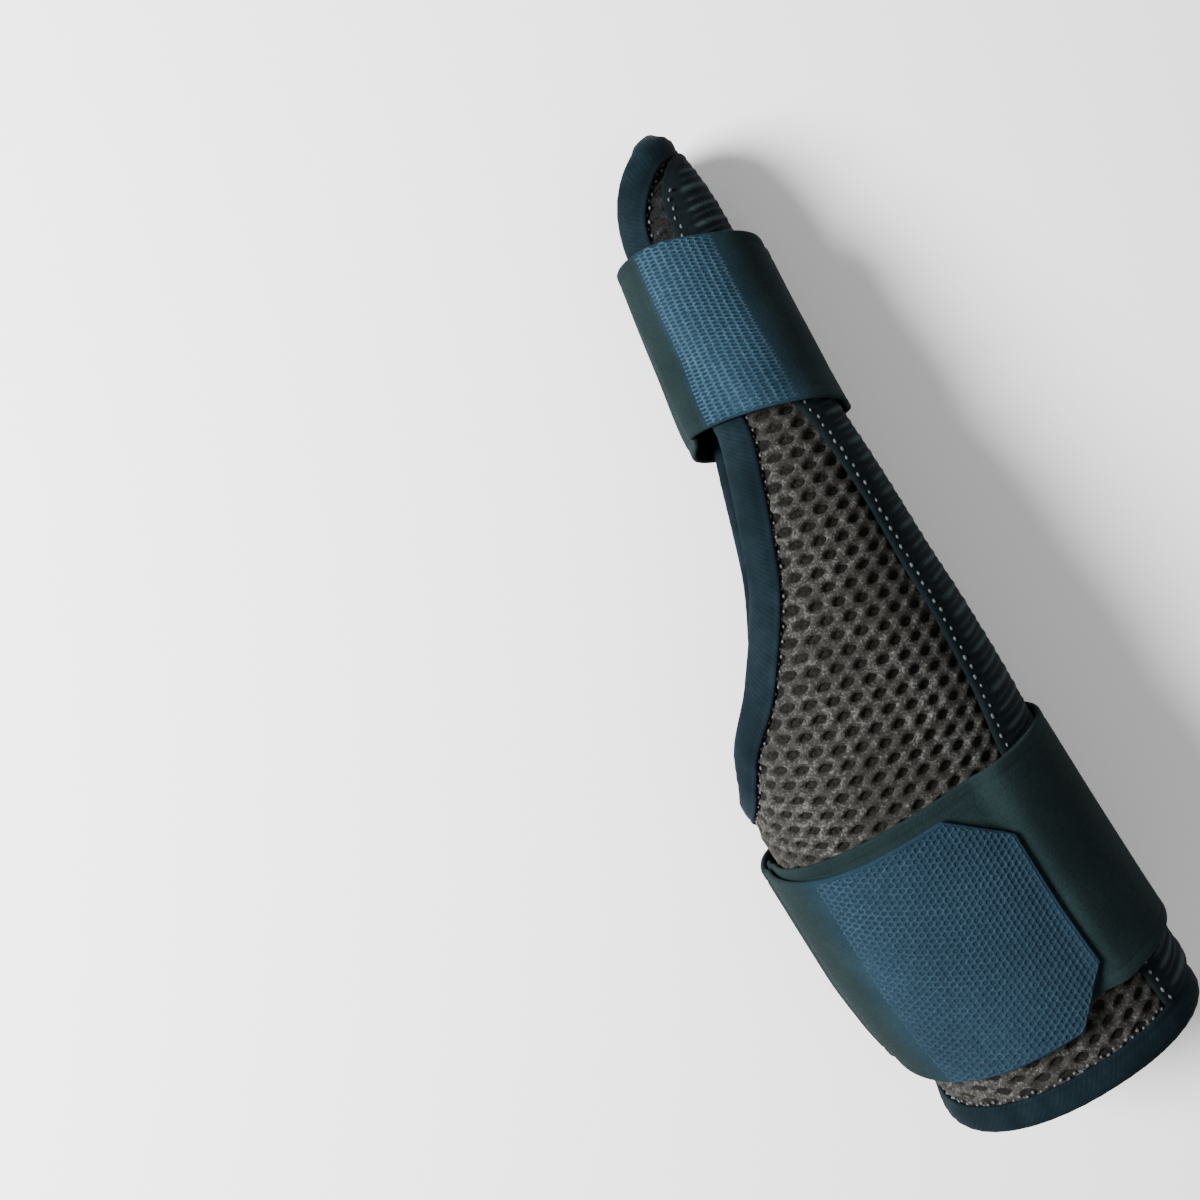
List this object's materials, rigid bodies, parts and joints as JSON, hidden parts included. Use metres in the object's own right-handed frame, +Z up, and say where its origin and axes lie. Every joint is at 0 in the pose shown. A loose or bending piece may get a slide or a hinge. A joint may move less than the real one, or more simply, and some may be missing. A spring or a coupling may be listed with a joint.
{
  "type": "thumb spica splint",
  "caption": "Cloth wrist and thumb splint in its worn form: spacer mesh shell with bound edges, ribbed stay pocket down the radial side, and wrap-round wrist and thumb straps with hook tabs.",
  "frame": {"origin": "on the resting surface, under the middle of the bounding box", "axes": "+X from the cuff towards the thumb tip, +Y from the stay towards the open side of the palm, +Z up, out of the palm side"},
  "size_m": [0.215, 0.0758, 0.0547],
  "materials": {
    "spacer_mesh": "open knitted spacer mesh with oval holes, grey-brown",
    "binding_tape": "smooth folded binding tape, dark blue-grey",
    "ribbed_cloth": "ribbed elastic cloth with light stitching, nearly black blue",
    "loop_webbing": "soft loop webbing, dark teal",
    "wrist_tab_cloth": "cloth with a fine pattern of dark dots, blue",
    "thumb_tab_cloth": "cloth with a fine zigzag knit, blue"
  },
  "bodies": {
    "root": {"mesh_shell": "spacer_mesh", "edge_binding": "binding_tape", "stay_pocket": "ribbed_cloth", "wrist_strap": "loop_webbing", "wrist_strap_tab": "wrist_tab_cloth", "thumb_strap": "loop_webbing", "thumb_strap_tab": "thumb_tab_cloth"}
  },
  "joints": []
}
